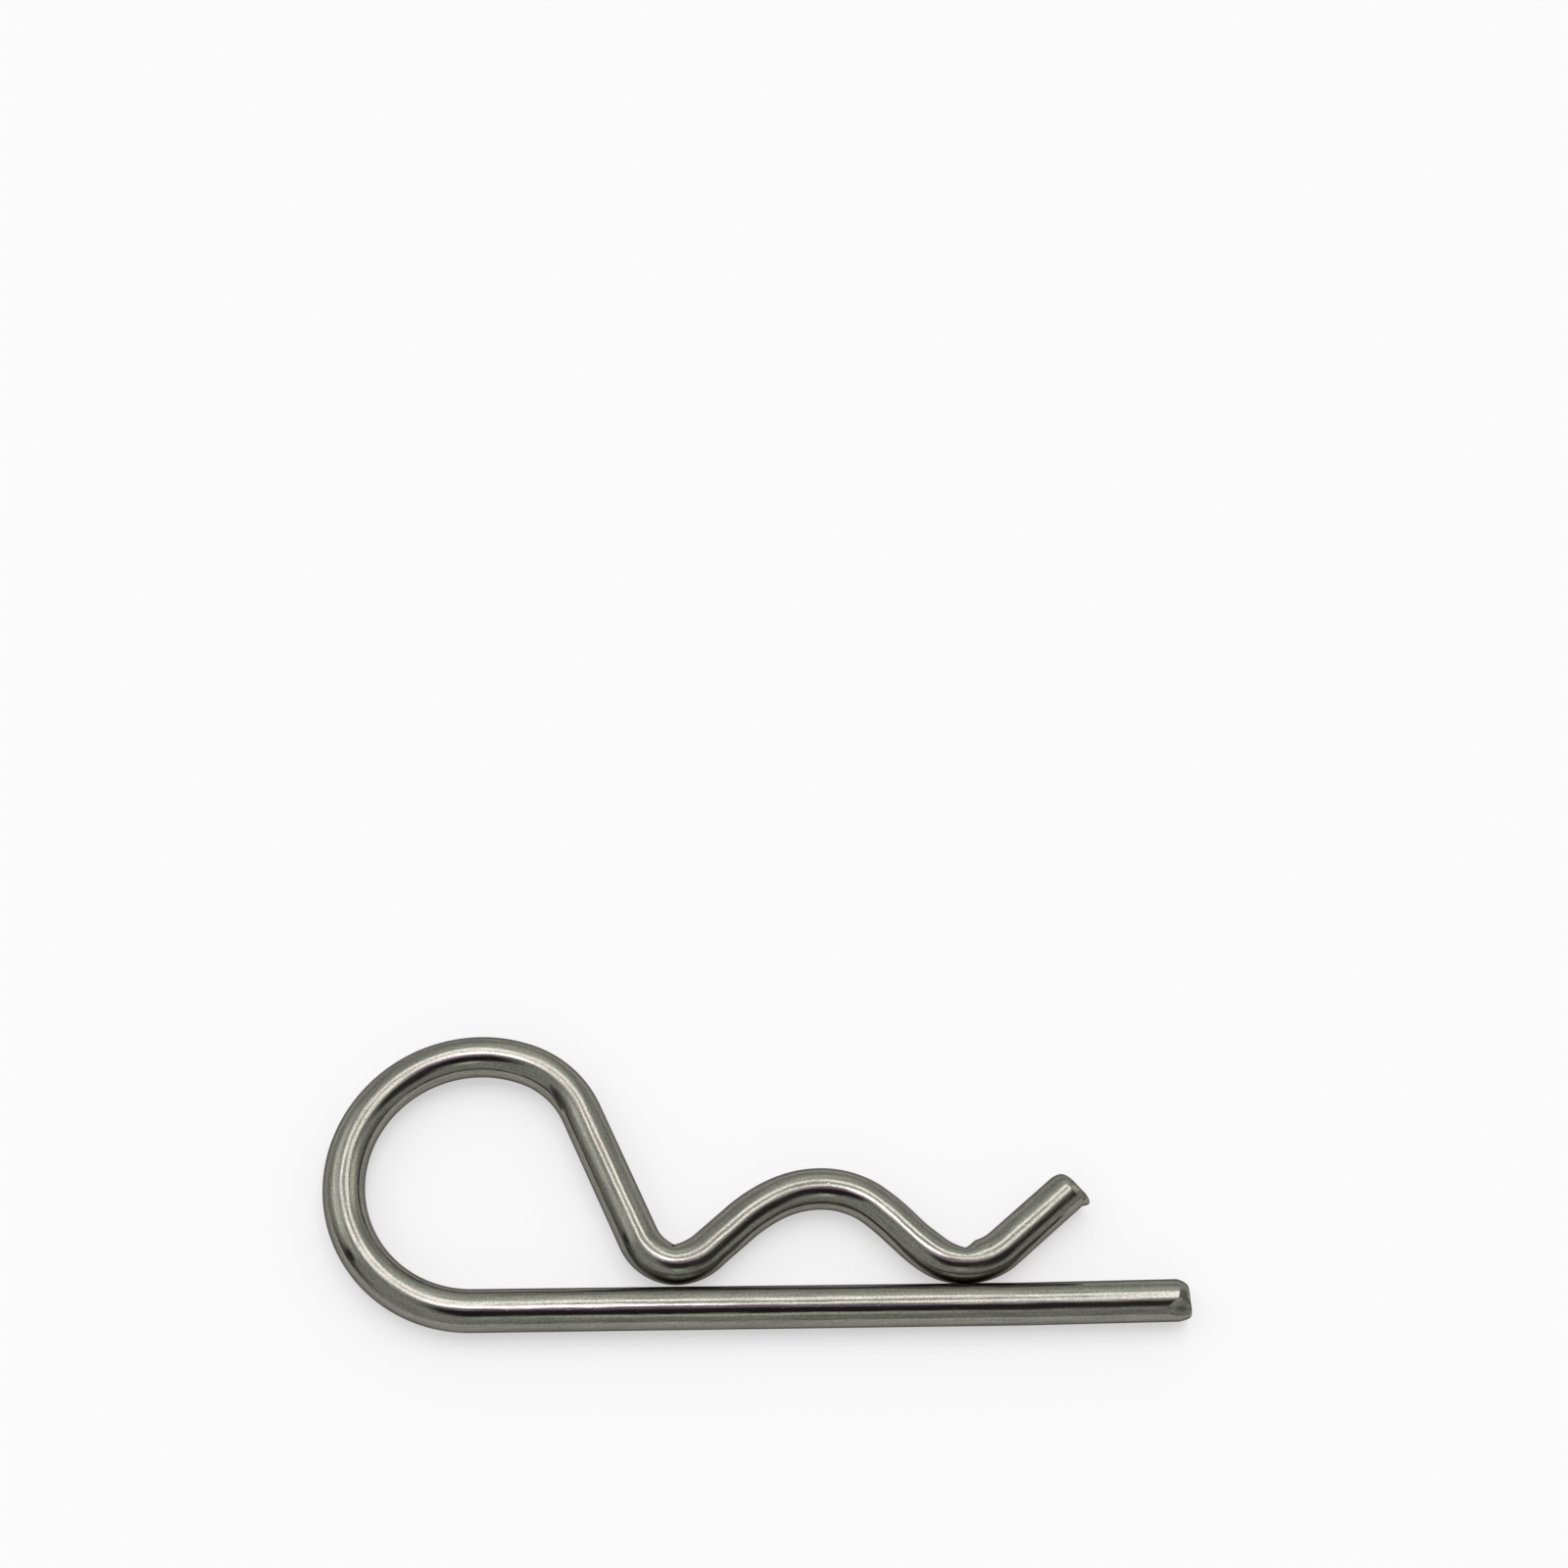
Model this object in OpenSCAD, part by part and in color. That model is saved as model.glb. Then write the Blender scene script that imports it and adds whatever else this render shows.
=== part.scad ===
// Hitch R clip pin, bent from one length of round spring wire, in millimetres.
// It lies flat: X runs along the straight leg to its free end, Y from the straight leg to the
// shaped leg, and Z is up. The origin is under the middle of the clip, on what it lies on.

/* [Wire] */
// Diameter of the wire
wire_d = 4; // [3:0.1:5]

/* [Straight leg] */
// Length of the straight leg, from the bow to its free end
leg_len = 68.2; // [62:0.1:90]
// Length of the free end, past the leg's slight set
leg_end_len = 16; // [10:0.5:17]
// Angle that the free end is set towards the shaped leg
leg_set = 0.6; // [0.1:0.1:3]
// Inside radius of the bend where the free end is set
leg_set_r = 60; // [20:1:120]
// Radius of the rounded edge at the leg's free end
leg_end_round = 1.2; // [0.2:0.1:1.4]

/* [Bow] */
// Inside radius of the round bow
bow_r = 10.65; // [8:0.05:14]
// Angle that the bow turns through, from the straight leg to the shoulder
bow_turn = 197; // [185:1:205]
// Straight length between the bow and the shoulder
bow_run_len = 0.2; // [0.1:0.1:4]
// Inside radius of the shoulder, where the wire turns down into the diagonal
shoulder_r = 7.65; // [5:0.05:10]
// Angle between the diagonal and the straight leg
diagonal_angle = 66; // [50:1:75]

/* [First valley] */
// Inside radius of the first valley
valley_1_r = 2.1; // [1.5:0.1:4]
// Gap between the first valley and the straight leg
valley_1_gap = 0.25; // [0.05:0.05:2]
// Straight length of the flank between the first valley and the crest
flank_1_len = 4; // [0.5:0.1:6]

/* [Crest] */
// Diameter of the shaft that the clip holds, with the straight leg through its middle
shaft_d = 19; // [16:0.1:22]
// How far the free crest stands inside the surface of that shaft, so that it grips
grip = 0.1; // [0:0.05:1]
// Inside radius of the crest
crest_r = 8.9; // [7:0.1:11]
// Straight length of the flank between the crest and the second valley
flank_2_len = 0.6; // [0.1:0.1:4]

/* [Second valley and tip] */
// Inside radius of the second valley
valley_2_r = 4.1; // [2:0.1:6]
// Gap between the second valley and the straight leg
valley_2_gap = 0.05; // [0.05:0.05:2]
// Angle between the tip and the straight leg
tip_angle = 39.5; // [25:0.5:55]
// Straight length of the tip, past the second valley
tip_len = 9.5; // [5:0.1:14]
// Radius of the edge at the tip's cut end
tip_round = 0.7; // [0.1:0.1:1.4]

/* [Hidden] */

WIRE_SIDES = 48;
TURN_SIDES = 180;
// The wire draws down by this much in radius where it is bent. Each straight also reaches a
// little into the bends at its ends, so that no two round surfaces coincide where they join.
BEND_THINNING = 0.01;
JOINT_OVERLAP = 0.05;

wire_r = wire_d / 2;
bent_wire_r = wire_r - BEND_THINNING;

// A bend follows the wire's centre line, half a wire outside its inside radius.
function centre_r(inside_r) = inside_r + wire_r;

// Heights of the centre line over the straight leg's axis, where the wire runs level
valley_1_y = wire_d + valley_1_gap;
valley_2_y = wire_d + valley_2_gap;
crest_y = shaft_d / 2 - grip + wire_r;

// The flank's slope is the one at which two bends and the straight between them climb a height.
// The bends climb (1 - cos) of their radii, and the straight climbs sin of its length.
function flank_slope(radii, straight, height) =
    atan2(radii, straight) + asin((height - radii) / norm([radii, straight]));

flank_1_slope = flank_slope(
    centre_r(valley_1_r) + centre_r(crest_r), flank_1_len, crest_y - valley_1_y);
flank_2_slope = flank_slope(
    centre_r(valley_2_r) + centre_r(crest_r), flank_2_len, crest_y - valley_2_y);

// The diagonal is as long as it must be to come down from the shoulder to the first valley.
shoulder_slope = bow_turn - 180;
shoulder_y = centre_r(bow_r) * (1 + cos(shoulder_slope)) - bow_run_len * sin(shoulder_slope)
    - centre_r(shoulder_r) * (cos(shoulder_slope) - cos(diagonal_angle));
valley_1_start_y = valley_1_y + centre_r(valley_1_r) * (1 - cos(diagonal_angle));
diagonal_len = (shoulder_y - valley_1_start_y) / sin(diagonal_angle);

// A stretch of wire is a straight, [length], or a bend, [centre radius, angle], whose angle is
// positive when it turns anticlockwise.
function is_bend(stretch) = len(stretch) == 2;

// Both runs of wire start where the straight leg meets the bow.
set_bend = [centre_r(leg_set_r), leg_set];
set_len = set_bend[0] * leg_set * PI / 180;
straight_leg = [
    [leg_len - leg_end_len - set_len],
    set_bend
];
shaped_leg = [
    [centre_r(bow_r), -bow_turn],
    [bow_run_len],
    [centre_r(shoulder_r), shoulder_slope - diagonal_angle],
    [diagonal_len],
    [centre_r(valley_1_r), diagonal_angle + flank_1_slope],
    [flank_1_len],
    [centre_r(crest_r), -flank_1_slope - flank_2_slope],
    [flank_2_len],
    [centre_r(valley_2_r), flank_2_slope + tip_angle]
];

// How far the rounded free end reaches along X from the bow
leg_end_reach = (wire_r - leg_end_round) * sin(leg_set) + leg_end_round * (1 - cos(leg_set));
leg_reach = straight_leg[0][0] + set_bend[0] * sin(leg_set) + leg_end_len * cos(leg_set)
    + leg_end_reach;

// The box around the clip, which the origin stands under the middle of
x_min = -centre_r(bow_r) - bent_wire_r;
x_max = leg_reach;
y_min = -wire_r;
y_max = 2 * centre_r(bow_r) + bent_wire_r;

module straight_wire(length) {
    translate([-JOINT_OVERLAP, 0, 0])
        rotate([0, 90, 0])
            cylinder(r = wire_r, h = length + 2 * JOINT_OVERLAP, $fn = WIRE_SIDES);
}

// Places what follows on the centre of a bend, which is at the side that the bend turns to
module on_bend_centre(radius, turn) {
    translate([0, radius * sign(turn)])
        children();
}

module bent_wire(radius, turn) {
    mirror([0, turn < 0 ? 1 : 0, 0])
        on_bend_centre(radius, 1)
            rotate(-90)
                rotate_extrude(angle = abs(turn), $fn = TURN_SIDES)
                    translate([radius, 0])
                        circle(r = bent_wire_r, $fn = WIRE_SIDES);
}

// A straight end of the wire, whose last edge is rounded
module wire_end(length, edge_r) {
    rotate([0, 90, 0])
        rotate_extrude($fn = WIRE_SIDES)
            union() {
                translate([0, -JOINT_OVERLAP])
                    square([wire_r, length - edge_r + JOINT_OVERLAP]);
                square([wire_r - edge_r, length]);
                translate([wire_r - edge_r, length - edge_r])
                    intersection() {
                        circle(r = edge_r, $fn = WIRE_SIDES);
                        square(edge_r);
                    }
            }
}

// Moves what follows to where a stretch ends, headed as the stretch ends
module past(stretch) {
    radius = stretch[0];
    turn = stretch[1];
    if (is_bend(stretch))
        on_bend_centre(radius, turn)
            rotate(turn)
                on_bend_centre(-radius, turn)
                    children();
    else
        translate([stretch[0], 0, 0])
            children();
}

// Each stretch carries the rest of its run, and the last one carries the wire's end.
module run_of_wire(stretches, i = 0) {
    if (i == len(stretches))
        children();
    else {
        if (is_bend(stretches[i]))
            bent_wire(stretches[i][0], stretches[i][1]);
        else
            straight_wire(stretches[i][0]);
        past(stretches[i])
            run_of_wire(stretches, i + 1)
                children();
    }
}

module clip_wire() {
    color("silver")
        translate([-(x_min + x_max) / 2, -(y_min + y_max) / 2, wire_r]) {
            run_of_wire(straight_leg)
                wire_end(leg_end_len, leg_end_round);
            rotate(180)
                run_of_wire(shaped_leg)
                    wire_end(tip_len, tip_round);
        }
}

clip_wire();
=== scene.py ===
import math

import bmesh
import bpy
from mathutils import Matrix, Vector


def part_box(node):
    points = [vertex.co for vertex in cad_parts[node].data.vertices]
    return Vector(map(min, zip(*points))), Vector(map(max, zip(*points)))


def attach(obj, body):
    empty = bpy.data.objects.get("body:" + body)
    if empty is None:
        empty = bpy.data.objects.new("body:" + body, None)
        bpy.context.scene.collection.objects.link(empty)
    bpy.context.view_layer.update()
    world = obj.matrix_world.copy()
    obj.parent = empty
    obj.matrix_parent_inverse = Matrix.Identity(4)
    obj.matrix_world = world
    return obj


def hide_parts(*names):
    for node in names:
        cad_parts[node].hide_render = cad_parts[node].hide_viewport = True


bl_info = {
    "name": "Hitch R clip pin",
    "version": (1, 0, 0),
    "blender": (4, 5, 0),
    "location": "View3D > Sidebar > R clip",
    "description": "Bends an R clip from one length of drawn stainless wire, in a light tent",
    "category": "Add Mesh",
}

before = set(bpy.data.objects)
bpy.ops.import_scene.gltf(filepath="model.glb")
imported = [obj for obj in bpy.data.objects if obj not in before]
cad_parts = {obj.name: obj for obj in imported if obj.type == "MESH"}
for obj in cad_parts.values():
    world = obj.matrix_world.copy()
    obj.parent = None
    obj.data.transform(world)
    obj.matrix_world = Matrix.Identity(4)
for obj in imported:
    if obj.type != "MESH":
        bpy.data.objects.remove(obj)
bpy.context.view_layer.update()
clip_low, clip_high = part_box("clip_wire")

MM = 0.001
WIRE_D = clip_high.z - clip_low.z
BOW_R = (clip_high.y - clip_low.y - WIRE_D) / 2

# The wire's mesh: points round it, steps along a straight and round a bend, a short collar before
# the edge of an end, and steps over that edge and over the end's face
RING_POINTS = 128
STEP_LEN = 0.5 * MM
STEP_TURN = math.radians(2)
COLLAR_LEN = 0.03 * MM
EDGE_STEPS = 16
FACE_STEPS = 6

# How far the floor reaches on each side of the clip's middle, and the width of the camera's sensor
FLOOR_REACH = 3.0
SENSOR_WIDTH_MM = 36

# Each point of the wire keeps its place on the wire as it was before bending: X along it from
# where the straight leg meets the bow, Y towards the bow's eye and Z up. It also keeps which way
# that Y points on the bent wire, how much a tool has marked it and how dark its dents and crease
# are painted as shade, and how much a tight bend has stretched and roughened it.
UNBENT = "unbent"
SIDE = "side"
TOOL_MARK_AND_SHADE = "tool_mark_and_shade"
STRETCHED = "stretched"


# ---------------------------------------------------------------- sizes and colours

def length(name, default, description):
    return bpy.props.FloatProperty(
        name=name, description=description, default=default, unit="LENGTH", precision=5)


def angle(name, degrees, description):
    return bpy.props.FloatProperty(
        name=name, description=description, default=math.radians(degrees), unit="ROTATION")


def amount(name, default, description, low=0.0, high=1.0):
    return bpy.props.FloatProperty(
        name=name, description=description, default=default, min=low, max=high, precision=3)


def colour(name, default, description):
    return bpy.props.FloatVectorProperty(
        name=name, description=description, default=default, size=3, subtype="COLOR", min=0, max=1)


class WireSizes(bpy.types.PropertyGroup):
    """Sizes of the bent wire. Bends are measured at the wire's centre line."""
    wire_d: length("Wire diameter", WIRE_D, "Diameter of the wire")
    leg_end_len: length("Leg end length", 16 * MM, "Length of the leg's free end, past its set")
    leg_set: angle("Leg set", 0.6, "Angle that the free end is set towards the shaped leg")
    leg_set_r: length("Leg set radius", 62 * MM, "Radius of the bend where the free end is set")
    leg_edge_len: length("Leg edge length", 1.15 * MM, "Length over which the leg's end is rounded")
    leg_edge_r: length("Leg edge depth", 0.65 * MM, "How far the leg's rounded edge comes in")
    leg_edge_corner: angle("Leg edge corner", 34, "Angle at which the leg's rounded edge starts")
    bow_r: length("Bow radius", BOW_R, "Radius of the round bow")
    bow_turn: angle("Bow turn", 197, "Angle that the bow turns through")
    bow_run_len: length("Bow run", 0.2 * MM, "Straight length between the bow and the shoulder")
    shoulder_r: length("Shoulder radius", 9.65 * MM, "Radius of the shoulder")
    diagonal_angle: angle("Diagonal", 66, "Angle between the diagonal and the straight leg")
    valley_1_r: length("First valley radius", 4.1 * MM, "Radius of the first valley")
    valley_1_gap: length("First valley gap", 0.25 * MM, "Gap between the first valley and the leg")
    flank_1_len: length("First flank", 4 * MM, "Straight length before the crest")
    crest_r: length("Crest radius", 10.9 * MM, "Radius of the crest")
    crest_height: length("Crest height", 11.4 * MM, "Height of the crest over the leg, axis to axis")
    flank_2_len: length("Second flank", 0.6 * MM, "Straight length after the crest")
    valley_2_r: length("Second valley radius", 6.1 * MM, "Radius of the second valley")
    valley_2_gap: length("Second valley gap", 0.05 * MM, "Gap between the second valley and the leg")
    tip_angle: angle("Tip angle", 39.5, "Angle between the tip and the straight leg")
    tip_len: length("Tip length", 9.5 * MM, "Straight length of the tip")
    tip_edge_len: length("Tip edge length", 0.75 * MM, "Length over which the tip's end is rolled")
    tip_edge_r: length("Tip edge depth", 0.45 * MM, "How far the tip's rolled edge comes in")
    tip_edge_corner: angle("Tip edge corner", 18, "Angle at which the tip's rolled edge starts")


class FormingMarks(bpy.types.PropertyGroup):
    """What bending and cutting left in the wire."""
    valley_1_kink: length("First valley kink", 0.4 * MM, "Depth of the kink inside the first valley")
    valley_2_kink: length("Second valley kink", 0.7 * MM, "Depth of the kink inside the second valley")
    swell: length("Swell", 0.16 * MM, "Height of the swelling beside a kink")
    crease: length("Shoulder crease", 0.12 * MM, "Depth of the crease on the shoulder")
    nick: length("Nicks", 0.03 * MM, "Depth of the nicks that the bending tool left")
    pit: length("Pit", 0.09 * MM, "Depth of the pit in the first valley's kink")
    tip_sway: length("Tip sway", 0.09 * MM, "How far the tip stands off its line")
    burr: length("Burr", 0.72 * MM, "Height of the burr at the tip's lower edge")
    burr_reach: length("Burr reach", 0.25 * MM, "How far the burr draws the tip's face out")
    leg_face_lean: length("Leg face lean", 0.15 * MM, "How far the top of the leg's face leans back")
    leg_face_off: length("Leg face off", 0.12 * MM, "How far the leg's face stands off its axis")
    leg_edge_skew: length("Leg edge skew", 1.45 * MM, "How much longer the leg's edge is in front")
    leg_bevel: length("Leg bevel", 0.7 * MM, "How far the leg's edge is bevelled in front")
    tip_edge_skew: length("Tip edge skew", 0.3 * MM, "How much longer the tip's edge is on top")
    cut_mark: amount("Cut faces", 0.3, "How much the cutting tool has marked both end faces")


class SteelFinish(bpy.types.PropertyGroup):
    """Finish of the drawn stainless wire, and the painted shade in its dents and crease."""
    steel: colour("Steel", (0.22, 0.218, 0.190), "Colour of the steel")
    edge_tint: colour("Edge tint", (0.35, 0.35, 0.36), "Colour of the steel where it is seen edge on")
    roughness: amount("Roughness", 0.115, "Roughness of the drawn surface")
    line_depth: amount("Drawing lines", 0.9, "Strength of the fine lines along the wire")
    grain: amount("Grain", 0.62, "How strong the fine grain is beside the fine lines")
    streaks: amount("Streaks", 0.28, "How much lighter and darker the fine lines are")
    stretched_roughness: amount("Stretched roughness", 0.27, "Roughness outside the tight bends")
    # The marks' near-black is painted shade in the nicks, the pit and the crease; on the cut faces it
    # dulls the sheared steel.
    mark_and_shade_colour: colour("Tool marks", (0.03, 0.032, 0.028), "Colour of the tool marks")
    mark_roughness: amount("Mark roughness", 0.45, "Roughness of the tool marks")


class StudioLook(bpy.types.PropertyGroup):
    """The floor, the light tent and the camera."""
    floor: colour("Floor", (0.92, 0.92, 0.92), "Colour of the floor")
    floor_white: amount("Floor white", 0.5, "Share of plain white that the floor shows")
    tent_level: amount("Tent level", 1.045, "Strength of all the light of the tent", 0, 4)
    tent: colour("Tent", (0.617, 0.63, 0.625), "Light that comes from the walls of the tent")
    camera_distance: length("Camera distance", 225.88 * MM, "Distance from the camera to its aim")
    camera_elevation: angle("Camera elevation", 60.327, "Angle of the view above the floor")
    camera_turn: angle("Camera turn", -9.430, "Turn of the view round the clip, from straight in front")
    camera_roll: angle("Camera roll", 8.656, "Roll of the camera about its own axis")
    camera_lens: amount("Camera lens", 47.595, "Focal length on a 36 mm sensor", 20, 200)
    aim_x: length("Aim to the right", 4.49 * MM, "Where the camera looks, right of the clip's middle")
    aim_y: length("Aim behind", 45.14 * MM, "Where the camera looks, behind the clip's middle")


# ---------------------------------------------------------------- the wire's course

def flank_slope(radii, straight, height):
    """Slope at which two bends and the straight between them climb a height."""
    return math.atan2(radii, straight) + math.asin((height - radii) / math.hypot(radii, straight))


def bow_start(sizes):
    """Where the straight leg's axis meets the bow."""
    wire_r = sizes.wire_d / 2
    return Vector((clip_low.x + sizes.bow_r + wire_r, clip_low.y + wire_r, clip_low.z + wire_r))


def straight_leg(sizes):
    """Stretches from the bow to the leg's free end.

    Each is ("straight", length) or ("bend", radius, turn), whose turn is positive to the left.
    """
    set_run = sizes.leg_set_r * math.sin(sizes.leg_set)
    end_run = sizes.leg_end_len * math.cos(sizes.leg_set)
    leg_len = clip_high.x - bow_start(sizes).x - end_run - set_run
    return [
        ("straight", leg_len),
        ("bend", sizes.leg_set_r, sizes.leg_set),
        ("straight", sizes.leg_end_len - sizes.leg_edge_len),
    ]


def shaped_leg(sizes):
    """Stretches from the leg round the bow and down the waves to the tip."""
    shoulder_slope = sizes.bow_turn - math.pi
    shoulder_y = (
        sizes.bow_r * (1 + math.cos(shoulder_slope))
        - sizes.bow_run_len * math.sin(shoulder_slope)
        - sizes.shoulder_r * (math.cos(shoulder_slope) - math.cos(sizes.diagonal_angle)))
    valley_1_y = sizes.wire_d + sizes.valley_1_gap
    valley_2_y = sizes.wire_d + sizes.valley_2_gap
    valley_1_start_y = valley_1_y + sizes.valley_1_r * (1 - math.cos(sizes.diagonal_angle))
    diagonal_len = (shoulder_y - valley_1_start_y) / math.sin(sizes.diagonal_angle)
    slope_1 = flank_slope(
        sizes.valley_1_r + sizes.crest_r, sizes.flank_1_len, sizes.crest_height - valley_1_y)
    slope_2 = flank_slope(
        sizes.valley_2_r + sizes.crest_r, sizes.flank_2_len, sizes.crest_height - valley_2_y)
    return [
        ("bend", sizes.bow_r, -sizes.bow_turn),
        ("straight", sizes.bow_run_len),
        ("bend", sizes.shoulder_r, shoulder_slope - sizes.diagonal_angle),
        ("straight", diagonal_len),
        ("bend", sizes.valley_1_r, sizes.diagonal_angle + slope_1),
        ("straight", sizes.flank_1_len),
        ("bend", sizes.crest_r, -slope_1 - slope_2),
        ("straight", sizes.flank_2_len),
        ("bend", sizes.valley_2_r, slope_2 + sizes.tip_angle),
        ("straight", sizes.tip_len - sizes.tip_edge_len),
    ]


# Places of the shaped leg's stretches in its list
BOW, SHOULDER, DIAGONAL, VALLEY_1, FLANK_1, CREST, VALLEY_2 = 0, 2, 3, 4, 5, 6, 8


def stretch_len(stretch):
    """Length of a stretch along the wire's centre line."""
    return stretch[1] if stretch[0] == "straight" else stretch[1] * abs(stretch[2])


def place_along(stretches, index, share):
    """Distance along a run of wire to a share of one of its stretches."""
    before = sum(stretch_len(stretch) for stretch in stretches[:index])
    return before + share * stretch_len(stretches[index])


# ---------------------------------------------------------------- drawing the wire

class WireRun:
    """A run of wire that is drawn out of a ring of edges, step by step."""

    def __init__(self, bm, ring, place, heading, sign):
        self.bm = bm
        self.ring = ring
        self.place = place.copy()
        self.heading = heading
        self.sign = sign
        self.drawn = 0.0
        self.unbent = bm.verts.layers.float_vector[UNBENT]
        self.side = bm.verts.layers.float_vector[SIDE]

    def direction(self, turned=0.0):
        """Unit vector that the run heads in, or will head in once turned by an angle."""
        heading = self.heading + turned
        return Vector((math.cos(heading), math.sin(heading), 0))

    def note(self, point, drawn, direction):
        """Keeps on a point how far along the wire it is, and which way its side is."""
        point[self.unbent].x = self.sign * drawn
        point[self.side] = self.sign * Vector((-direction.y, direction.x, 0))

    def extrude(self, run):
        """Draws the ring on by a length, and returns its new points, still in the old place."""
        new = bmesh.ops.extrude_edge_only(self.bm, edges=self.ring)["geom"]
        points = {part for part in new if isinstance(part, bmesh.types.BMVert)}
        edges = [part for part in new if isinstance(part, bmesh.types.BMEdge)]
        self.ring = [edge for edge in edges if points.issuperset(edge.verts)]
        self.drawn += run
        for point in points:
            self.note(point, self.drawn, self.direction())
        return list(points)

    def go_straight(self, run, steps=None):
        """Draws a straight stretch, and returns the points of its last ring."""
        steps = steps or max(1, round(run / STEP_LEN))
        old_ring = set(self.ring)
        points = self.extrude(run)
        ahead = self.direction() * run
        bmesh.ops.translate(self.bm, verts=points, vec=ahead)
        self.place += ahead
        if steps > 1:
            around = old_ring.union(self.ring)
            along = {edge for point in points for edge in point.link_edges} - around
            bmesh.ops.subdivide_edges(self.bm, edges=list(along), cuts=steps - 1)
        return points

    def go_round(self, radius, turn):
        """Draws a bend."""
        run = radius * abs(turn)
        left = Vector((-math.sin(self.heading), math.cos(self.heading), 0))
        centre = self.place + left * math.copysign(radius, turn)
        points = list({point for edge in self.ring for point in edge.verts})
        old_count = len(self.bm.verts)
        spun = bmesh.ops.spin(
            self.bm, geom=points + self.ring, cent=centre, axis=(0, 0, 1), angle=turn,
            steps=max(2, round(abs(turn) / STEP_TURN)), use_duplicate=False)
        self.ring = [part for part in spun["geom_last"] if isinstance(part, bmesh.types.BMEdge)]
        start = self.place - centre
        self.bm.verts.ensure_lookup_table()
        for point in self.bm.verts[old_count:]:
            arm = (point.co - centre).to_2d()
            turned = abs(arm.angle_signed(start.to_2d())) % (2 * math.pi)
            if start.cross(point.co - centre).z * turn < 0:
                turned = 2 * math.pi - turned
            ahead = self.direction(math.copysign(turned, turn))
            self.note(point, self.drawn + radius * turned, ahead)
        self.drawn += run
        self.place = centre + Matrix.Rotation(turn, 3, "Z") @ start
        self.heading += turn

    def follow(self, stretches):
        """Draws the stretches one after the other."""
        for stretch in stretches:
            if stretch[0] == "straight":
                self.go_straight(stretch[1])
            else:
                self.go_round(stretch[1], stretch[2])

    def narrow(self, ahead, scale):
        """One step ahead in which the ring narrows towards its middle."""
        points = self.go_straight(ahead, steps=1)
        bmesh.ops.scale(
            self.bm, verts=points, vec=(scale, scale, scale), space=Matrix.Translation(-self.place))
        for point in points:
            point[self.unbent].yz = point[self.unbent].yz * scale

    def end(self, wire_r, edge_len, edge_r, corner):
        """Rounds the wire's last edge over, from a slight corner on, and closes its face."""
        radius = wire_r
        scale_len = edge_len / (1 - math.sin(corner))
        scale_r = edge_r / math.cos(corner)
        turn = (math.pi / 2 - corner) / EDGE_STEPS
        self.go_straight(COLLAR_LEN, steps=1)
        for step in range(EDGE_STEPS):
            start = corner + turn * step
            stop = start + turn
            next_radius = wire_r - scale_r * (math.cos(corner) - math.cos(stop))
            self.narrow(scale_len * (math.sin(stop) - math.sin(start)), next_radius / radius)
            radius = next_radius
        # The rings of the face come in by even steps, and leave a small middle to fill
        for step in range(FACE_STEPS, 0, -1):
            self.narrow(0, (step - 0.5) / (step + 0.5))
        bmesh.ops.edgeloop_fill(self.bm, edges=self.ring)


def draw_wire(sizes, marks):
    """Mesh of the whole bent wire, drawn both ways from where the leg meets the bow."""
    bm = bmesh.new()
    bm.verts.layers.float_vector.new(UNBENT)
    bm.verts.layers.float_vector.new(SIDE)
    bm.verts.layers.float.new(TOOL_MARK_AND_SHADE)
    bm.verts.layers.float.new(STRETCHED)
    unbent = bm.verts.layers.float_vector[UNBENT]
    side = bm.verts.layers.float_vector[SIDE]
    start = bow_start(sizes)
    wire_r = sizes.wire_d / 2
    across_leg = Matrix.Rotation(math.pi / 2, 4, "Y")
    bmesh.ops.create_circle(
        bm, segments=RING_POINTS, radius=wire_r, matrix=Matrix.Translation(start) @ across_leg)
    for point in bm.verts:
        point[unbent] = point.co - start
        point[side] = (0, 1, 0)
    ring = bm.edges[:]
    shaped = WireRun(bm, ring, start, math.pi, -1)
    shaped.follow(shaped_leg(sizes))
    shaped.end(wire_r, sizes.tip_edge_len, sizes.tip_edge_r, sizes.tip_edge_corner)
    leg = WireRun(bm, ring, start, 0, 1)
    leg.follow(straight_leg(sizes))
    leg.end(wire_r, sizes.leg_edge_len, sizes.leg_edge_r, sizes.leg_edge_corner)
    bmesh.ops.recalc_face_normals(bm, faces=bm.faces[:])
    mark_cut_faces(bm, sizes, marks)
    shape_leg_end(bm, leg, sizes, marks)
    shape_tip_end(bm, shaped, sizes, marks)
    press_marks(bm, sizes, marks)
    return bm


# ---------------------------------------------------------------- marks of bending and cutting

# Angles round the wire start at the bow's eye side and go over the top. Places along it are above
# 0 on the straight leg and below 0 towards the tip.

# How far a kink reaches along the wire and how sharp it is, on the leg's side and the tip's side
FIRST_KINK = ((5 * MM, 2.5), (5 * MM, 2.5))
SECOND_KINK = ((4 * MM, 2.0), (1.7 * MM, 1.3))


def hill(distance):
    """1 in the middle, and smoothly down to 0 at a distance of 1 and beyond."""
    return max(0.0, 1 - distance * distance) ** 2


def apart(angle_1, angle_2):
    """Smallest turn between two angles round the wire."""
    return (angle_1 - angle_2 + math.pi) % (2 * math.pi) - math.pi


def places_of(bm):
    """Each point, its place along the wire, its angle round it and its way out from the axis."""
    unbent = bm.verts.layers.float_vector[UNBENT]
    side = bm.verts.layers.float_vector[SIDE]
    for point in bm.verts:
        along, aside, up = point[unbent]
        yield point, along, math.atan2(up, aside), point[side] * aside + Vector((0, 0, up))


def face_radius(sizes):
    """Radius of the smaller of the two end faces."""
    return sizes.wire_d / 2 - max(sizes.leg_edge_r, sizes.tip_edge_r)


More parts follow.
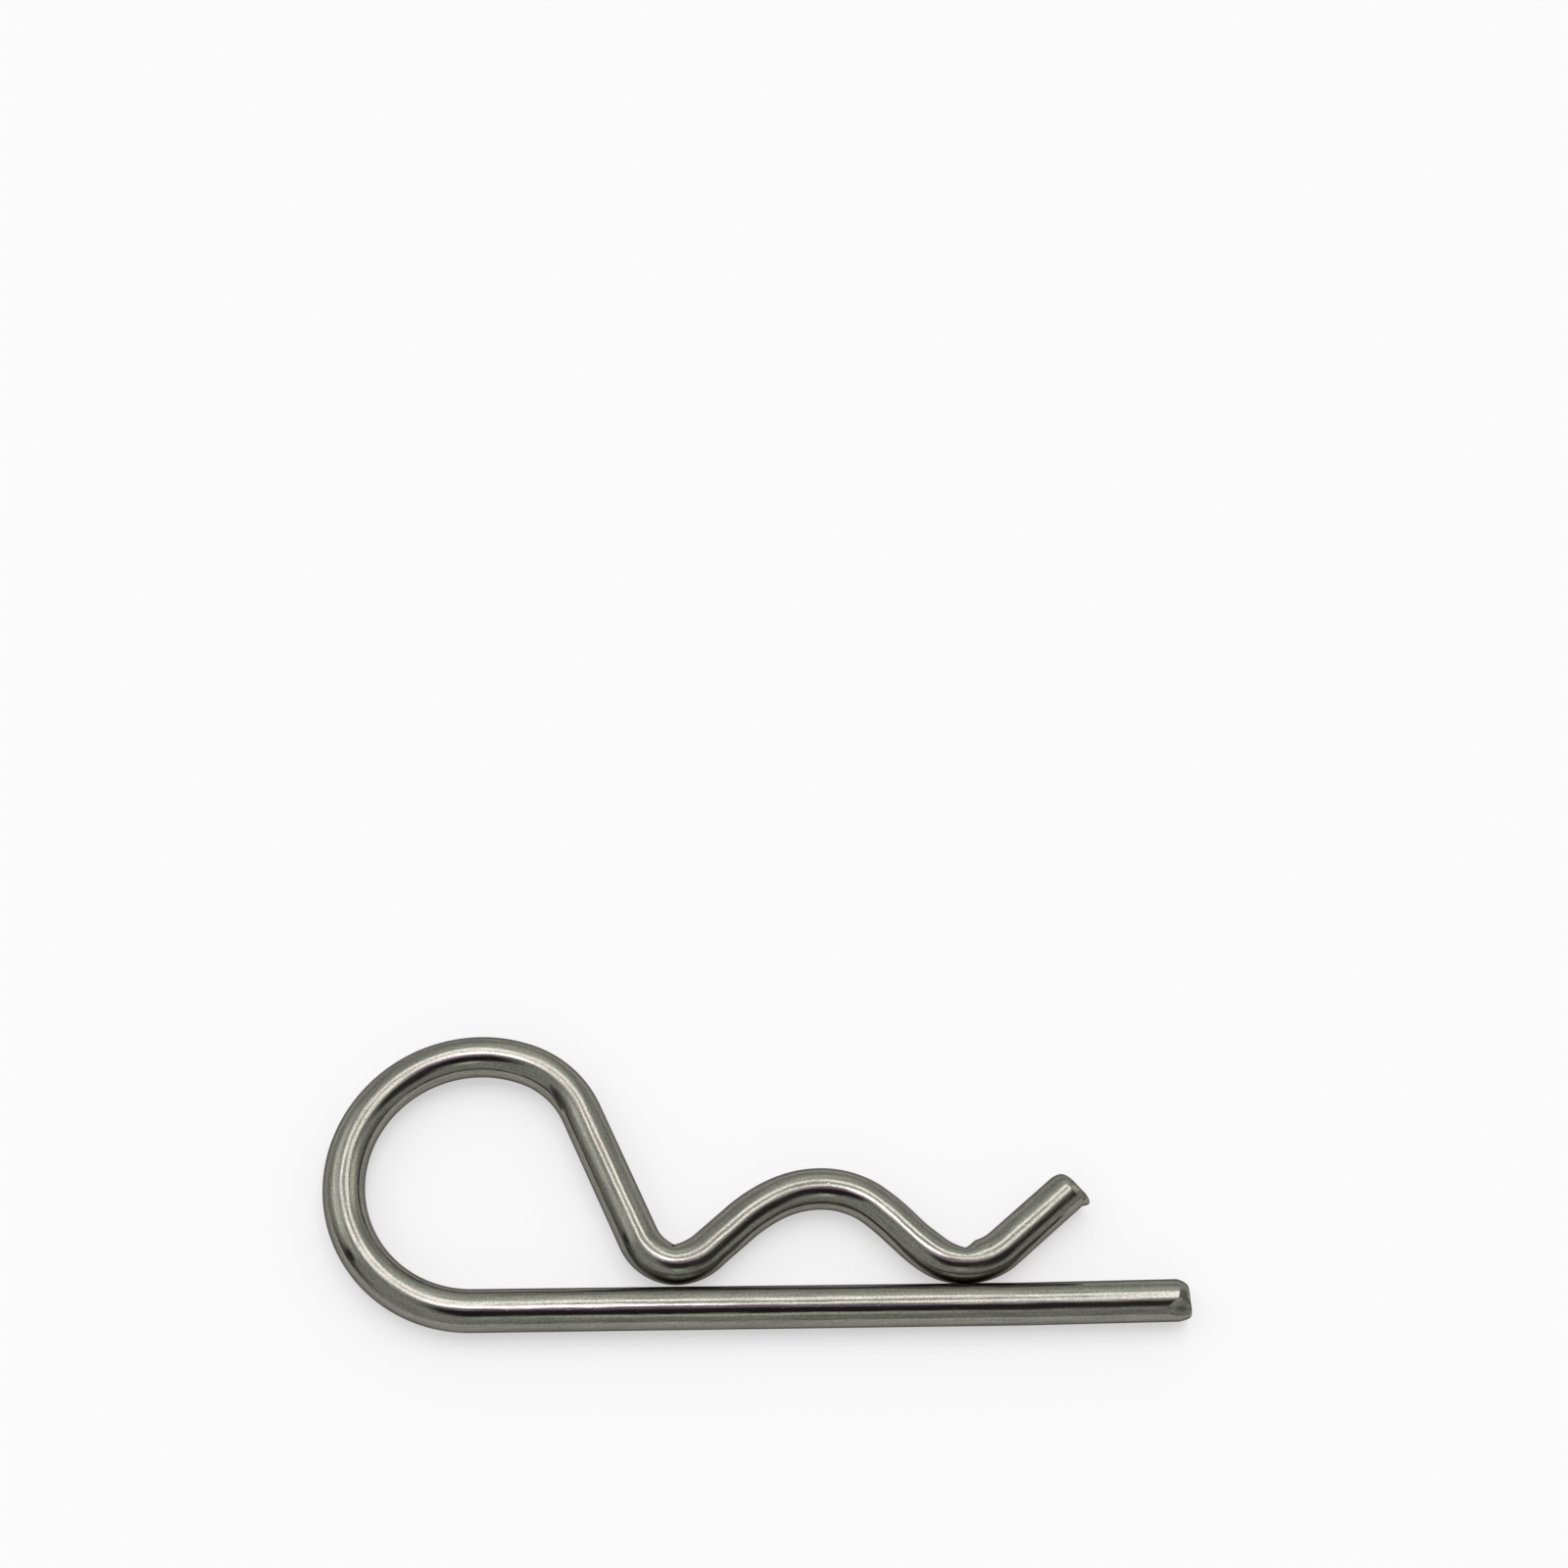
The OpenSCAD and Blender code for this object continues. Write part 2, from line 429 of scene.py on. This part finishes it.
def mark_cut_faces(bm, sizes, marks):
    """Marks both end faces, which the cutting tool has touched."""
    tool_mark_and_shade = bm.verts.layers.float[TOOL_MARK_AND_SHADE]
    face_r = face_radius(sizes)
    for point, _, _, outwards in places_of(bm):
        if outwards.length < face_r:
            point[tool_mark_and_shade] = marks.cut_mark


def leg_skew(from_front):
    """Share of the leg edge's skew at an angle from its front. It falls off fast over the top."""
    broad = 1.3
    narrow = 0.55 if from_front < 0 else 1.0
    return (hill(from_front / broad) + 2 * hill(from_front / narrow)) / 3


def shape_leg_end(bm, leg, sizes, marks):
    """Skews and bevels the leg's rounded edge in front, and leans and moves its face."""
    front, top, bevelled = math.radians(125), math.radians(80), math.radians(98)
    bevel_width = math.radians(75)
    skew_run = 2 * MM
    ahead = leg.direction()
    wire_r = sizes.wire_d / 2
    side = bm.verts.layers.float_vector[SIDE]
    for point, along, around, outwards in places_of(bm):
        past_edge = along - (leg.drawn - sizes.leg_edge_len)
        if past_edge > -skew_run:
            share = past_edge / sizes.leg_edge_len if past_edge > 0 else -past_edge / skew_run
            skew = marks.leg_edge_skew * leg_skew(apart(around, front)) * (1 - share)
            if past_edge > 0:
                lean = marks.leg_face_lean * math.cos(apart(around, top))
                skew += lean * share * outwards.length / wire_r
                bevel = marks.leg_bevel * hill(apart(around, bevelled) / bevel_width)
                point.co -= outwards * share * bevel / wire_r
                point.co -= point[side] * marks.leg_face_off * share ** 2
            point.co -= ahead * skew


def shape_tip_end(bm, shaped, sizes, marks):
    """Skews the tip's rolled edge, and flares its lower side into a burr."""
    top, bottom = math.radians(140), math.radians(-5)
    skew_run, burr_len = 1 * MM, 0.8 * MM
    burr_width, burr_sharpness = 1.5, 1.6
    ahead = shaped.direction()
    wire_r = sizes.wire_d / 2
    face_r = face_radius(sizes)
    for point, along, around, outwards in places_of(bm):
        past_edge = -along - (shaped.drawn - sizes.tip_edge_len)
        if past_edge > -skew_run:
            run = sizes.tip_edge_len if past_edge > 0 else skew_run
            skew = marks.tip_edge_skew * math.cos(apart(around, top))
            point.co -= ahead * skew * (1 - abs(past_edge) / run)
        to_end = (shaped.drawn + along) / burr_len
        if to_end < 1:
            lip = (1 - to_end) ** burr_sharpness * hill(apart(around, bottom) / burr_width)
            lip *= min(1, outwards.length / face_r) ** 2
            point.co += (outwards * (marks.burr / wire_r) + ahead * marks.burr_reach) * lip


def at(sizes, index, share):
    """Place along the wire, at a share of one of the shaped leg's stretches."""
    return -place_along(shaped_leg(sizes), index, share)


def nicks_of(sizes, marks):
    """Nicks: place along the wire, degrees round it, half length, half width, depth and darkness of
    their painted shade.
    """
    return [
        (at(sizes, BOW, 0.285), 125, 1.15 * MM, 0.46 * MM, marks.nick, 1.0),
        (at(sizes, DIAGONAL, 0.99), 48, 0.9 * MM, 0.30 * MM, marks.nick, 1.0),
        (at(sizes, VALLEY_1, 0.502), 138, 0.30 * MM, 0.48 * MM, marks.pit, 0.9),
        (at(sizes, FLANK_1, 0.43), 30, 1.0 * MM, 0.22 * MM, marks.nick / 2, 0.5),
        (at(sizes, BOW, 0.294), 92, 0.3 * MM, 0.2 * MM, marks.nick / 3, 0.3),
        (3.7 * MM, 88, 0.3 * MM, 0.2 * MM, marks.nick / 3, 0.4),
        (at(sizes, VALLEY_2, 0.84), 108, 0.14 * MM, 0.34 * MM, marks.nick / 2, 0.5),
    ]


def sways_of(sizes):
    """Sways of the wire to the bow's eye side: place along it, half length and height."""
    return [
        (at(sizes, VALLEY_1, 0.87), 3.0 * MM, -0.09 * MM),
        (at(sizes, CREST, 0.11), 5.5 * MM, 0.25 * MM),
        (at(sizes, CREST, 0.58), 4.5 * MM, -0.15 * MM),
        (at(sizes, CREST, 0.91), 3.8 * MM, 0.18 * MM),
        (at(sizes, VALLEY_2, 0.13), 2.8 * MM, -0.13 * MM),
    ]


def kink(along, middle, sides):
    """Depth of a sharp kink, 1 at its middle."""
    reach, sharpness = sides[0] if along > middle else sides[1]
    return max(0.0, 1 - abs(along - middle) / reach) ** sharpness


def kinks_push(along, around, kink_1, kink_2, marks):
    """How far the kinks inside both valleys, and the swelling beside the first, push a point out."""
    inside, width = math.pi, math.radians(90)
    swell_reach = 4.8 * MM
    push = marks.swell * hill((along - kink_1) / swell_reach)
    push -= marks.valley_1_kink * kink(along, kink_1, FIRST_KINK)
    push -= marks.valley_2_kink * kink(along, kink_2, SECOND_KINK)
    return push * hill(apart(around, inside) / width)


def stretching(along, around, kink_1, kink_2):
    """How much a tight bend has stretched a point, from 0 to 1 outside the middle of a valley."""
    outside, width = math.radians(20), math.radians(80)
    reach = 6 * MM
    near = max(hill((along - kink_1) / reach), hill((along - kink_2) / reach))
    return near * hill(apart(around, outside) / width)


def shoulder_crease(share, around):
    """Depth of the crease on the shoulder and its painted shade, from 0 to 1, at a share of its length.

    It starts steeply, runs out slowly, turns towards the inside and is steeper on that side.
    """
    if not 0 < share < 1:
        return 0.0, 0.0
    last_angle, turned = 33, 20
    inner_width, outer_width = math.radians(6 + 6 * share), math.radians(14 + 12 * share)
    deepest, darkest, dark_reach, dark_width = 0.15, 0.2, 0.45, math.radians(12)
    away = apart(around, math.radians(last_angle + turned * (1 - share) ** 3))
    width = inner_width if away < 0 else outer_width
    depth = min(1, share / deepest) * (1 - share) ** 1.5
    # The crease is painted dark as shade, most near its start.
    dark = hill(away / dark_width) * hill((share - darkest) / dark_reach)
    return depth * hill(away / width), dark


def press_marks(bm, sizes, marks):
    """Presses the kinks, the crease and the nicks of the bending tool into the wire, and sways it.

    Each point also keeps how much it is marked, with painted shade in the nicks, pit and crease, and
    how much it is stretched.
    """
    kink_1, kink_2 = at(sizes, VALLEY_1, 0.506), at(sizes, VALLEY_2, 0.593)
    crease_start, crease_end = at(sizes, SHOULDER, 0.54), at(sizes, DIAGONAL, 0.08)
    tip_start, tip_sway_run = at(sizes, VALLEY_2, 0.6), 4 * MM
    nicks, sways = nicks_of(sizes, marks), sways_of(sizes)
    side = bm.verts.layers.float_vector[SIDE]
    tool_mark_and_shade = bm.verts.layers.float[TOOL_MARK_AND_SHADE]
    stretched = bm.verts.layers.float[STRETCHED]
    bm.normal_update()
    moves = []
    for point, along, around, _ in places_of(bm):
        point[stretched] = stretching(along, around, kink_1, kink_2)
        push = kinks_push(along, around, kink_1, kink_2, marks)
        share = (along - crease_start) / (crease_end - crease_start)
        crease, dark = shoulder_crease(share, around)
        push -= marks.crease * crease
        for nick_at, nick_angle, half_len, half_width, depth, darkness in nicks:
            if abs(along - nick_at) < half_len:
                across = sizes.wire_d / 2 * apart(around, math.radians(nick_angle)) / half_width
                nick = hill(math.hypot((along - nick_at) / half_len, across))
                push -= depth * nick
                # A nick is painted dark where it is deepest, as shade in its hollow.
                dark = max(dark, min(1, 2 * nick) * darkness)
        point[tool_mark_and_shade] = max(point[tool_mark_and_shade], dark)
        sway = sum(height * hill((along - middle) / half_len) for middle, half_len, height in sways)
        sway += marks.tip_sway * min(1, max(0, (tip_start - along) / tip_sway_run))
        moves.append((point, point.normal * push + point[side] * sway))
    for point, move in moves:
        point.co += move


# ---------------------------------------------------------------- nodes

def add_node(tree, kind, inputs=None, **settings):
    """Adds a node, with its settings and its inputs' values or links."""
    node = tree.nodes.new(kind)
    for name, value in settings.items():
        setattr(node, name, value)
    for name, value in (inputs or {}).items():
        if isinstance(value, bpy.types.NodeSocket):
            tree.links.new(value, node.inputs[name])
        else:
            node.inputs[name].default_value = value
    return node


def maths(tree, operation, first, second=0.0, third=0.0):
    inputs = {0: first, 1: second, 2: third}
    return add_node(tree, "ShaderNodeMath", inputs, operation=operation).outputs[0]


def ramp(tree, value, low, high, to_low=0.0, to_high=1.0, **settings):
    """Turns values between low and high into values between to_low and to_high."""
    return add_node(tree, "ShaderNodeMapRange", {
        "Value": value, "From Min": low, "From Max": high, "To Min": to_low, "To Max": to_high},
        **settings).outputs[0]


# A Mix node's A and B are its inputs 2 and 3 for values, and 6 and 7 for colours.

def mix_values(tree, share, first, second):
    return add_node(
        tree, "ShaderNodeMix", {"Factor": share, 2: first, 3: second}, data_type="FLOAT").outputs[0]


def mix_colours(tree, share, first, second, label=""):
    return add_node(
        tree, "ShaderNodeMix", {"Factor": share, 6: first, 7: second}, data_type="RGBA",
        label=label).outputs[2]


def bump(tree, height, strength, distance, under=None, invert=False):
    """Normal of the bumps that a height makes, over another normal if one is given."""
    inputs = {"Height": height, "Strength": strength, "Distance": distance}
    if under is not None:
        inputs["Normal"] = under
    return add_node(tree, "ShaderNodeBump", inputs, invert=invert).outputs[0]


def attribute(tree, name, output):
    return add_node(tree, "ShaderNodeAttribute", attribute_name=name).outputs[output]


def opaque(rgb):
    return (*rgb, 1.0)


# ---------------------------------------------------------------- steel

# Scales of the noise that each pattern of the drawn surface is made of, along the wire, aside and
# up. A larger one is finer.
LINES = (170, 3400, 3400)
BROAD_LINES = (90, 1400, 1400)
GRAIN = (4200, 5200, 5200)
WAVES = (260, 420, 420)
PITS = (2400, 3400, 3400)


def noise(tree, place, scale, detail=2.0, roughness=0.5):
    """Noise that is scaled differently along the wire and across it."""
    scaled = add_node(tree, "ShaderNodeMapping", {"Vector": place, "Scale": scale}).outputs[0]
    return add_node(tree, "ShaderNodeTexNoise", {
        "Vector": scaled, "Scale": 1.0, "Detail": detail, "Roughness": roughness}).outputs[0]


def steel_roughness(tree, finish, lines, stretched, marked_and_shaded):
    """Roughness of the clean lines, of the tight bends and of the tool marks."""
    spread = 0.02
    smooth_lines, rough_lines = 0.3, 0.7
    clean = ramp(
        tree, lines, smooth_lines, rough_lines, finish.roughness - spread,
        finish.roughness + spread)
    unmarked = mix_values(tree, stretched, clean, finish.stretched_roughness)
    return mix_values(tree, marked_and_shaded, unmarked, finish.mark_roughness)


def steel_colour(tree, finish, lines, grain, marked_and_shaded):
    """Colour of the steel, darker and lighter by its lines and grain, with painted shade in its dents
    and crease and duller cut faces.
    """
    spread = 0.25
    grained = maths(tree, "MULTIPLY_ADD", grain, finish.grain, lines)
    middle = 0.5 + 0.5 * finish.grain
    streak = ramp(tree, grained, middle - spread, middle + spread)
    dark_steel = [value * (1 - finish.streaks) for value in finish.steel]
    light_steel = [value * (1 + finish.streaks) for value in finish.steel]
    steel = mix_colours(tree, streak, opaque(dark_steel), opaque(light_steel))
    # Mixes in the near-black of the marks: painted shade in the dents and crease, duller steel on the
    # cut faces.
    return mix_colours(tree, marked_and_shaded, steel, opaque(finish.mark_and_shade_colour))


def steel_relief(tree, finish, lines, place):
    """Bumps of the fine and broad lines, the slow waves and the pits."""
    broad_share = 2.0
    line_height, wave_height, pit_depth = 0.01 * MM, 0.25 * MM, 0.02 * MM
    wave_strength, pit_strength = 0.10, 0.3
    pit_edge, pit_bottom = 0.70, 0.80
    broad_lines = noise(tree, place, BROAD_LINES)
    waves = noise(tree, place, WAVES, 1.0)
    pits = ramp(tree, noise(tree, place, PITS, 1.0), pit_edge, pit_bottom)
    height = maths(tree, "MULTIPLY_ADD", broad_lines, broad_share, lines)
    lined = bump(tree, height, finish.line_depth, line_height)
    wavy = bump(tree, waves, wave_strength, wave_height, lined)
    return bump(tree, pits, pit_strength, pit_depth, wavy, invert=True)


def steel_material(finish):
    material = bpy.data.materials.new("drawn stainless wire")
    material.use_nodes = True
    tree = material.node_tree
    shader = tree.nodes["Principled BSDF"]
    place = attribute(tree, UNBENT, "Vector")
    # Share of the marks: painted shade in the dents and crease, duller steel on the cut faces.
    marked_and_shaded = attribute(tree, TOOL_MARK_AND_SHADE, "Fac")
    stretched = attribute(tree, STRETCHED, "Fac")
    lines = noise(tree, place, LINES, 3.0, 0.7)
    grain = noise(tree, place, GRAIN, 1.0)
    shader.inputs["Metallic"].default_value = 1.0
    shader.inputs["Specular Tint"].default_value = opaque(finish.edge_tint)
    tree.links.new(steel_colour(tree, finish, lines, grain, marked_and_shaded), shader.inputs["Base Color"])
    tree.links.new(
        steel_roughness(tree, finish, lines, stretched, marked_and_shaded), shader.inputs["Roughness"])
    tree.links.new(steel_relief(tree, finish, lines, place), shader.inputs["Normal"])
    return material


# ---------------------------------------------------------------- studio

# Soft patches of light and shade on the tent: name, azimuth and elevation of the middle as seen
# from the clip (azimuth 0 along +X, 90 along +Y), angle to its full strength and to its edge,
# and colour. Later ones lie over earlier ones.
TENT_PATCHES = [
    ("lit back wall", 83, 41, 0, 32, (1.21, 1.27, 1.17)),
    ("left softbox", 159, 42, 5, 28, (1.84, 1.83, 1.79)),
    ("right softbox", 26, 38, 1, 21, (1.70, 1.67, 1.49)),
    ("dark gap on the left", 198, 11, 0, 25, (0.14, 0.155, 0.145)),
    ("dark gap on the right", -7, 2, 5, 35, (0.31, 0.325, 0.285)),
    ("front wall", -70, 0, 20, 40, (0.50, 0.51, 0.495)),
    ("foot of the front wall", -95, -5, 5, 22, (0.50, 0.51, 0.495)),
    ("glow round the lamp", 74, 73, 3, 30, (4.8, 4.5, 4.7)),
    ("camera", -86, 63, 14, 24, (0.040, 0.034, 0.038)),
    ("camera's stand", -40, 48, 12, 27, (0.075, 0.062, 0.065)),
    ("pale strip under the camera", -86, 39, 2, 10, (1.20, 1.30, 1.06)),
    ("tinted rim of the lens", -75, 83, 0, 15, (0.69, 0.48, 0.70)),
    ("ring lamp", 68, 70, 13, 18.5, (3.6, 3.48, 3.6)),
    ("middle of the ring lamp", 73, 72, 7, 9.5, (1.2, 1.18, 1.14)),
    ("near side of the ring lamp", 135, 85, 4, 9, (6.2, 5.7, 6.4)),
]


def towards(azimuth, elevation):
    """Unit vector at an azimuth and an elevation in degrees."""
    a, e = math.radians(azimuth), math.radians(elevation)
    return Vector((math.cos(a) * math.cos(e), math.sin(a) * math.cos(e), math.sin(e)))


def light_tent(look):
    """World that lights the clip like a tent with a ring lamp over it."""
    world = bpy.data.worlds.new("light tent")
    world.use_nodes = True
    tree = world.node_tree
    tree.nodes.clear()
    ray = add_node(tree, "ShaderNodeTexCoord").outputs["Generated"]
    seen = add_node(tree, "ShaderNodeVectorMath", {0: ray}, operation="NORMALIZE").outputs[0]
    light = opaque(look.tent)
    for name, azimuth, elevation, full, edge, rgb in TENT_PATCHES:
        cosine = add_node(
            tree, "ShaderNodeVectorMath", {0: seen, 1: towards(azimuth, elevation)},
            operation="DOT_PRODUCT").outputs["Value"]
        away = maths(tree, "ARCCOSINE", cosine)
        share = ramp(
            tree, away, math.radians(edge), math.radians(full), interpolation_type="SMOOTHSTEP")
        light = mix_colours(tree, share, light, opaque(rgb), label=name)
    background = add_node(tree, "ShaderNodeBackground", {"Color": light, "Strength": look.tent_level})
    output = add_node(tree, "ShaderNodeOutputWorld")
    tree.links.new(background.outputs[0], output.inputs["Surface"])
    return world


def new_object(name, bm, material):
    mesh = bpy.data.meshes.new(name)
    bm.to_mesh(mesh)
    bm.free()
    mesh.materials.append(material)
    piece = bpy.data.objects.new(name, mesh)
    bpy.context.scene.collection.objects.link(piece)
    return piece


def floor_material(look):
    """Pale floor that takes the shadow, and shows a share of plain white to the eye and in metal."""
    material = bpy.data.materials.new("pale floor")
    material.use_nodes = True
    tree = material.node_tree
    shader = tree.nodes["Principled BSDF"]
    shader.inputs["Base Color"].default_value = opaque(look.floor)
    shader.inputs["Roughness"].default_value = 1.0
    shader.inputs["Specular IOR Level"].default_value = 0.0
    rays = add_node(tree, "ShaderNodeLightPath").outputs
    straight = maths(tree, "MAXIMUM", rays["Is Camera Ray"], rays["Is Transmission Ray"])
    seen = maths(tree, "MAXIMUM", straight, rays["Is Glossy Ray"])
    share = maths(tree, "MULTIPLY", seen, look.floor_white)
    white = add_node(tree, "ShaderNodeEmission", {"Strength": 1.0}).outputs[0]
    mixed = add_node(
        tree, "ShaderNodeMixShader", {0: share, 1: shader.outputs[0], 2: white}).outputs[0]
    tree.links.new(mixed, tree.nodes["Material Output"].inputs["Surface"])
    return material


def add_camera(look):
    """Camera that looks down on the clip from in front of it."""
    data = bpy.data.cameras.new("camera")
    data.sensor_width = SENSOR_WIDTH_MM
    data.lens = look.camera_lens
    data.clip_start = 10 * MM
    camera = bpy.data.objects.new("camera", data)
    bpy.context.scene.collection.objects.link(camera)
    aim = Vector((look.aim_x, look.aim_y, clip_low.z))
    tilt = math.pi / 2 - look.camera_elevation
    turned = (
        Matrix.Rotation(look.camera_turn, 4, "Z")
        @ Matrix.Rotation(tilt, 4, "X")
        @ Matrix.Translation((0, 0, look.camera_distance))
        @ Matrix.Rotation(look.camera_roll, 4, "Z"))
    camera.matrix_world = Matrix.Translation(aim) @ turned
    return camera


# ---------------------------------------------------------------- operators

class OBJECT_OT_clip_wire(bpy.types.Operator):
    """Bend the wire of the R clip"""
    bl_idname = "object.clip_wire"
    bl_label = "R clip wire"

    def execute(self, context):
        scene = context.scene
        piece = new_object(
            "r_clip_wire", draw_wire(scene.wire_sizes, scene.forming_marks),
            steel_material(scene.steel_finish))
        piece.data.shade_smooth()
        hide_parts("clip_wire")
        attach(piece, "root")
        return {"FINISHED"}


class SCENE_OT_clip_studio(bpy.types.Operator):
    """Lay out the floor, the light tent and the camera"""
    bl_idname = "scene.clip_studio"
    bl_label = "Light tent"

    def execute(self, context):
        scene = context.scene
        look = scene.studio_look
        bm = bmesh.new()
        bmesh.ops.create_grid(
            bm, x_segments=1, y_segments=1, size=FLOOR_REACH,
            matrix=Matrix.Translation((0, 0, clip_low.z)))
        new_object("floor", bm, floor_material(look))
        scene.world = light_tent(look)
        scene.camera = add_camera(look)
        scene.view_settings.view_transform = "Standard"
        return {"FINISHED"}


class VIEW3D_PT_r_clip(bpy.types.Panel):
    """Panel that lists what the script makes"""
    bl_label = "R clip"
    bl_space_type = "VIEW_3D"
    bl_region_type = "UI"
    bl_category = "R clip"

    def draw(self, context):
        for group in GROUPS:
            box = self.layout.box()
            values = getattr(context.scene, group)
            for name in values.bl_rna.properties.keys():
                if name not in ("rna_type", "name"):
                    box.prop(values, name)
        for operator in OPERATORS:
            self.layout.operator(operator.bl_idname)


OPERATORS = (OBJECT_OT_clip_wire, SCENE_OT_clip_studio)
GROUPS = {
    "wire_sizes": WireSizes,
    "forming_marks": FormingMarks,
    "steel_finish": SteelFinish,
    "studio_look": StudioLook,
}
CLASSES = (*GROUPS.values(), *OPERATORS, VIEW3D_PT_r_clip)


def register():
    for cls in CLASSES:
        bpy.utils.register_class(cls)
    for name, group in GROUPS.items():
        setattr(bpy.types.Scene, name, bpy.props.PointerProperty(type=group))


def unregister():
    for name in GROUPS:
        delattr(bpy.types.Scene, name)
    for cls in reversed(CLASSES):
        bpy.utils.unregister_class(cls)


def main():
    register()
    bpy.ops.object.clip_wire()
    bpy.ops.scene.clip_studio()


if __name__ == "__main__":
    main()
